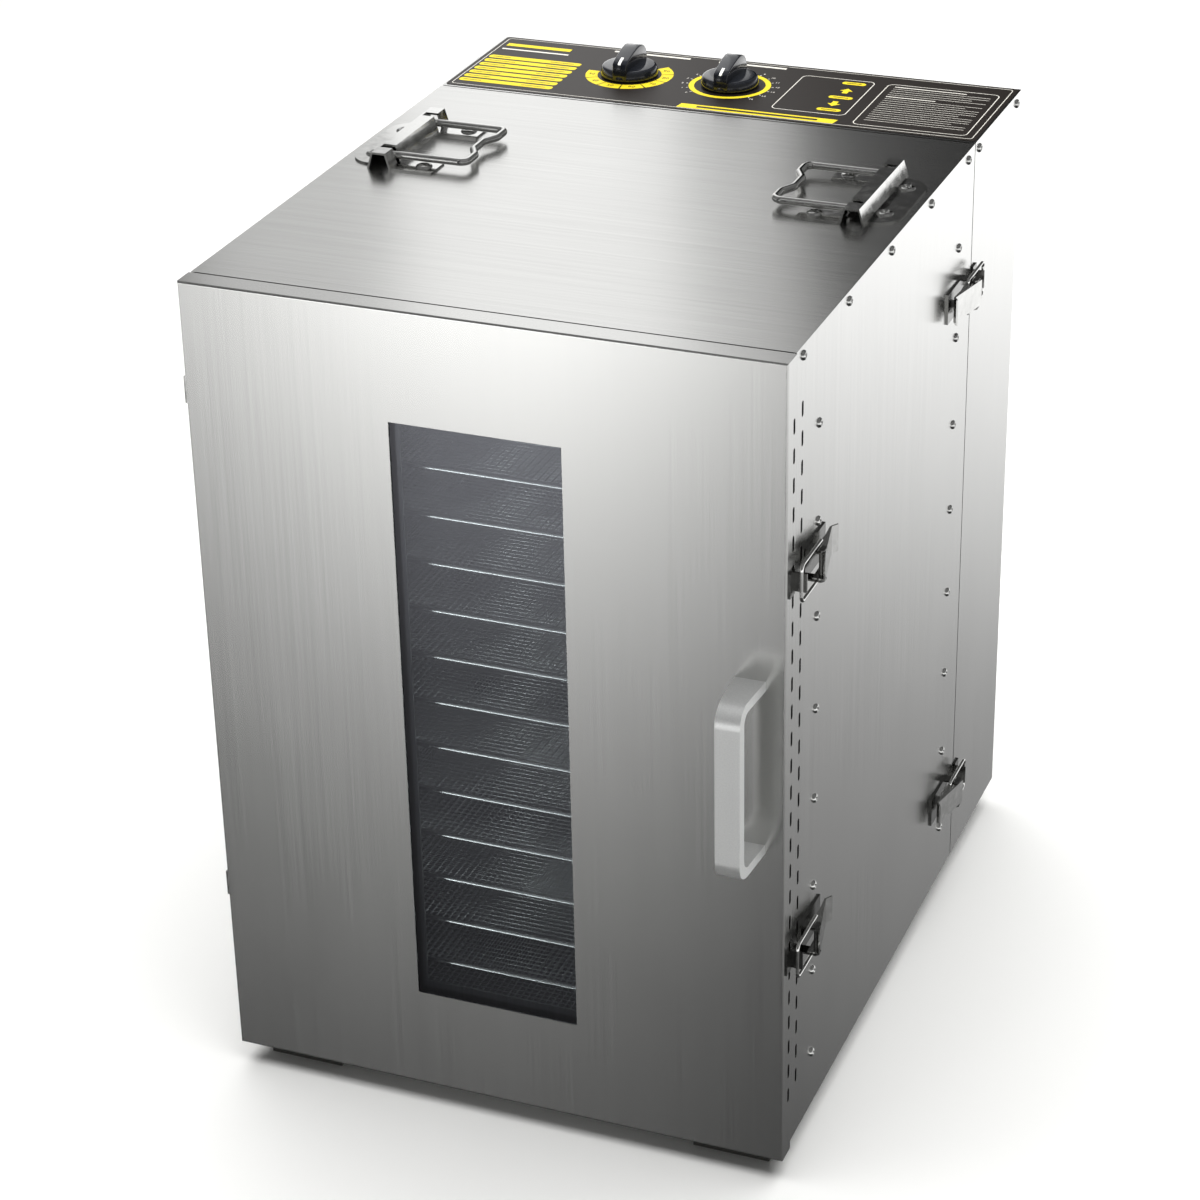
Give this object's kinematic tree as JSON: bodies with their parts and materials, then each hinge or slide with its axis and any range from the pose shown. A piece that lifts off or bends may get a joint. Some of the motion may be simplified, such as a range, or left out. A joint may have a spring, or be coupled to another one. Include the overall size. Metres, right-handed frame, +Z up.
{
  "type": "food dehydrator",
  "caption": "Cabinet food dehydrator: steel box with a glazed hinged door, sliding wire trays, a clip-on rear fan and heater module with top dials, toggle latches and carrying bails.",
  "frame": {"origin": "centre of the object's bounding box on the surface it stands on", "axes": "+X to the right of someone facing the door, +Y to the back, +Z up"},
  "size_m": [0.458, 0.62, 0.6555],
  "materials": {
    "brushed_steel": "brushed stainless sheet",
    "interior_steel": "mill-finish stainless sheet",
    "screw_steel": "plated",
    "polished_steel": "polished pressing and wire",
    "foot_rubber": "moulded, matt",
    "satin_aluminium": "satin anodised",
    "tempered_glass": "clear tempered",
    "seal_silicone": "extruded silicone",
    "knob_plastic": "glossy moulded",
    "control_plastic": "moulded nylon",
    "panel_print": "printed film on steel",
    "motor_enamel": "black enamel",
    "fan_aluminium": "pressed",
    "heater_sheath": "heat-tinted sheath",
    "tray_wire": "bright stainless wire"
  },
  "bodies": {
    "cabinet": {"right_side_panel": "brushed_steel", "left_side_panel": "brushed_steel", "top_panel": "brushed_steel", "base_panel": "brushed_steel", "end_frames": "interior_steel", "tray_racks": "interior_steel", "feet": "foot_rubber", "cabinet_screws": "screw_steel", "handle_brackets": "polished_steel", "latch_bases": "polished_steel", "hinge_cabinet_leaves": "polished_steel"},
    "rear_module": {"rear_cover": "brushed_steel", "control_panel": "panel_print", "rear_cover_screws": "screw_steel", "air_baffle": "interior_steel", "fan_motor": "motor_enamel", "heating_element": "heater_sheath", "thermostat_body": "control_plastic", "timer_body": "control_plastic", "cable_gland": "control_plastic", "rear_keepers": "polished_steel"},
    "door": {"door_panel": "brushed_steel", "door_inner_panel": "interior_steel", "door_glass": "tempered_glass", "door_seal": "seal_silicone", "door_handle": "satin_aluminium", "door_keepers": "polished_steel", "hinge_door_leaves": "polished_steel"},
    "temperature_dial": {"temperature_knob": "knob_plastic"},
    "timer_dial": {"timer_knob": "knob_plastic"},
    "fan": {"fan_blade": "fan_aluminium"},
    "right_carry_bail": {"handle_bail_right": "polished_steel"},
    "left_carry_bail": {"handle_bail_left": "polished_steel"},
    "front_upper_right_lever_body": {"front_upper_right_lever": "polished_steel"},
    "front_upper_right_bail_body": {"front_upper_right_bail": "polished_steel"},
    "front_lower_right_lever_body": {"front_lower_right_lever": "polished_steel"},
    "front_lower_right_bail_body": {"front_lower_right_bail": "polished_steel"},
    "rear_upper_right_lever_body": {"rear_upper_right_lever": "polished_steel"},
    "rear_upper_right_bail_body": {"rear_upper_right_bail": "polished_steel"},
    "rear_lower_right_lever_body": {"rear_lower_right_lever": "polished_steel"},
    "rear_lower_right_bail_body": {"rear_lower_right_bail": "polished_steel"},
    "rear_upper_left_lever_body": {"rear_upper_left_lever": "polished_steel"},
    "rear_upper_left_bail_body": {"rear_upper_left_bail": "polished_steel"},
    "rear_lower_left_lever_body": {"rear_lower_left_lever": "polished_steel"},
    "rear_lower_left_bail_body": {"rear_lower_left_bail": "polished_steel"},
    "tray_01_body": {"tray_01": "tray_wire"},
    "tray_02_body": {"tray_02": "tray_wire"},
    "tray_03_body": {"tray_03": "tray_wire"},
    "tray_04_body": {"tray_04": "tray_wire"},
    "tray_05_body": {"tray_05": "tray_wire"},
    "tray_06_body": {"tray_06": "tray_wire"},
    "tray_07_body": {"tray_07": "tray_wire"},
    "tray_08_body": {"tray_08": "tray_wire"},
    "tray_09_body": {"tray_09": "tray_wire"},
    "tray_10_body": {"tray_10": "tray_wire"},
    "tray_11_body": {"tray_11": "tray_wire"},
    "tray_12_body": {"tray_12": "tray_wire"},
    "tray_13_body": {"tray_13": "tray_wire"},
    "tray_14_body": {"tray_14": "tray_wire"},
    "tray_15_body": {"tray_15": "tray_wire"}
  },
  "joints": [
    {"name": "door_hinge", "type": "hinge", "parent": "cabinet", "child": "door", "pos_m": [-0.2187, -0.24675, 0.3255], "axis": [0, 0, -1], "range_deg": [0, 180]},
    {"name": "rear_module_slide", "type": "slide", "parent": "cabinet", "child": "rear_module", "axis": [0, 1, 0], "range_m": [0, 0.15]},
    {"name": "temperature_turn", "type": "hinge", "parent": "rear_module", "child": "temperature_dial", "pos_m": [-0.084, 0.235, 0.64], "axis": [0, 0, -1], "range_deg": [-105, 105]},
    {"name": "timer_turn", "type": "hinge", "parent": "rear_module", "child": "timer_dial", "pos_m": [-0.001, 0.235, 0.64], "axis": [0, 0, -1], "range_deg": [-150, 150]},
    {"name": "fan_spin", "type": "hinge", "parent": "rear_module", "child": "fan", "pos_m": [0, 0.2, 0.345], "axis": [0, 1, 0], "continuous": true},
    {"name": "right_handle_swing", "type": "hinge", "parent": "cabinet", "child": "right_carry_bail", "pos_m": [0.179, 0.0295, 0.6396], "axis": [0, 1, 0], "range_deg": [0, 100]},
    {"name": "left_handle_swing", "type": "hinge", "parent": "cabinet", "child": "left_carry_bail", "pos_m": [-0.179, 0.0295, 0.6396], "axis": [0, -1, 0], "range_deg": [0, 100]},
    {"name": "front_upper_right_latch", "type": "hinge", "parent": "cabinet", "child": "front_upper_right_lever_body", "pos_m": [0.225, -0.224, 0.476], "axis": [0, 0, -1], "range_deg": [0, 120]},
    {"name": "front_upper_right_bail_link", "type": "hinge", "parent": "front_upper_right_lever_body", "child": "front_upper_right_bail_body", "pos_m": [0.222, -0.215, 0.476], "axis": [0, 0, -1], "range_deg": [-120, 0]},
    {"name": "front_lower_right_latch", "type": "hinge", "parent": "cabinet", "child": "front_lower_right_lever_body", "pos_m": [0.225, -0.224, 0.184], "axis": [0, 0, -1], "range_deg": [0, 120]},
    {"name": "front_lower_right_bail_link", "type": "hinge", "parent": "front_lower_right_lever_body", "child": "front_lower_right_bail_body", "pos_m": [0.222, -0.215, 0.184], "axis": [0, 0, -1], "range_deg": [-120, 0]},
    {"name": "rear_upper_right_latch", "type": "hinge", "parent": "cabinet", "child": "rear_upper_right_lever_body", "pos_m": [0.225, 0.139, 0.527], "axis": [0, 0, 1], "range_deg": [0, 120]},
    {"name": "rear_upper_right_bail_link", "type": "hinge", "parent": "rear_upper_right_lever_body", "child": "rear_upper_right_bail_body", "pos_m": [0.222, 0.13, 0.527], "axis": [0, 0, 1], "range_deg": [-120, 0]},
    {"name": "rear_lower_right_latch", "type": "hinge", "parent": "cabinet", "child": "rear_lower_right_lever_body", "pos_m": [0.225, 0.139, 0.098], "axis": [0, 0, 1], "range_deg": [0, 120]},
    {"name": "rear_lower_right_bail_link", "type": "hinge", "parent": "rear_lower_right_lever_body", "child": "rear_lower_right_bail_body", "pos_m": [0.222, 0.13, 0.098], "axis": [0, 0, 1], "range_deg": [-120, 0]},
    {"name": "rear_upper_left_latch", "type": "hinge", "parent": "cabinet", "child": "rear_upper_left_lever_body", "pos_m": [-0.225, 0.139, 0.527], "axis": [0, 0, -1], "range_deg": [0, 120]},
    {"name": "rear_upper_left_bail_link", "type": "hinge", "parent": "rear_upper_left_lever_body", "child": "rear_upper_left_bail_body", "pos_m": [-0.222, 0.13, 0.527], "axis": [0, 0, -1], "range_deg": [-120, 0]},
    {"name": "rear_lower_left_latch", "type": "hinge", "parent": "cabinet", "child": "rear_lower_left_lever_body", "pos_m": [-0.225, 0.139, 0.098], "axis": [0, 0, -1], "range_deg": [0, 120]},
    {"name": "rear_lower_left_bail_link", "type": "hinge", "parent": "rear_lower_left_lever_body", "child": "rear_lower_left_bail_body", "pos_m": [-0.222, 0.13, 0.098], "axis": [0, 0, -1], "range_deg": [-120, 0]},
    {"name": "tray_01_slide", "type": "slide", "parent": "cabinet", "child": "tray_01_body", "axis": [0, -1, 0], "range_m": [0, 0.009]},
    {"name": "tray_02_slide", "type": "slide", "parent": "cabinet", "child": "tray_02_body", "axis": [0, -1, 0], "range_m": [0, 0.009]},
    {"name": "tray_03_slide", "type": "slide", "parent": "cabinet", "child": "tray_03_body", "axis": [0, -1, 0], "range_m": [0, 0.009]},
    {"name": "tray_04_slide", "type": "slide", "parent": "cabinet", "child": "tray_04_body", "axis": [0, -1, 0], "range_m": [0, 0.009]},
    {"name": "tray_05_slide", "type": "slide", "parent": "cabinet", "child": "tray_05_body", "axis": [0, -1, 0], "range_m": [0, 0.009]},
    {"name": "tray_06_slide", "type": "slide", "parent": "cabinet", "child": "tray_06_body", "axis": [0, -1, 0], "range_m": [0, 0.009]},
    {"name": "tray_07_slide", "type": "slide", "parent": "cabinet", "child": "tray_07_body", "axis": [0, -1, 0], "range_m": [0, 0.009]},
    {"name": "tray_08_slide", "type": "slide", "parent": "cabinet", "child": "tray_08_body", "axis": [0, -1, 0], "range_m": [0, 0.009]},
    {"name": "tray_09_slide", "type": "slide", "parent": "cabinet", "child": "tray_09_body", "axis": [0, -1, 0], "range_m": [0, 0.009]},
    {"name": "tray_10_slide", "type": "slide", "parent": "cabinet", "child": "tray_10_body", "axis": [0, -1, 0], "range_m": [0, 0.009]},
    {"name": "tray_11_slide", "type": "slide", "parent": "cabinet", "child": "tray_11_body", "axis": [0, -1, 0], "range_m": [0, 0.009]},
    {"name": "tray_12_slide", "type": "slide", "parent": "cabinet", "child": "tray_12_body", "axis": [0, -1, 0], "range_m": [0, 0.009]},
    {"name": "tray_13_slide", "type": "slide", "parent": "cabinet", "child": "tray_13_body", "axis": [0, -1, 0], "range_m": [0, 0.009]},
    {"name": "tray_14_slide", "type": "slide", "parent": "cabinet", "child": "tray_14_body", "axis": [0, -1, 0], "range_m": [0, 0.009]},
    {"name": "tray_15_slide", "type": "slide", "parent": "cabinet", "child": "tray_15_body", "axis": [0, -1, 0], "range_m": [0, 0.009]}
  ],
  "couplings": [
    {"joint": "front_upper_right_bail_link", "follows": "front_upper_right_latch", "ratio": -1},
    {"joint": "front_lower_right_bail_link", "follows": "front_lower_right_latch", "ratio": -1},
    {"joint": "rear_upper_right_bail_link", "follows": "rear_upper_right_latch", "ratio": -1},
    {"joint": "rear_lower_right_bail_link", "follows": "rear_lower_right_latch", "ratio": -1},
    {"joint": "rear_upper_left_bail_link", "follows": "rear_upper_left_latch", "ratio": -1},
    {"joint": "rear_lower_left_bail_link", "follows": "rear_lower_left_latch", "ratio": -1}
  ]
}
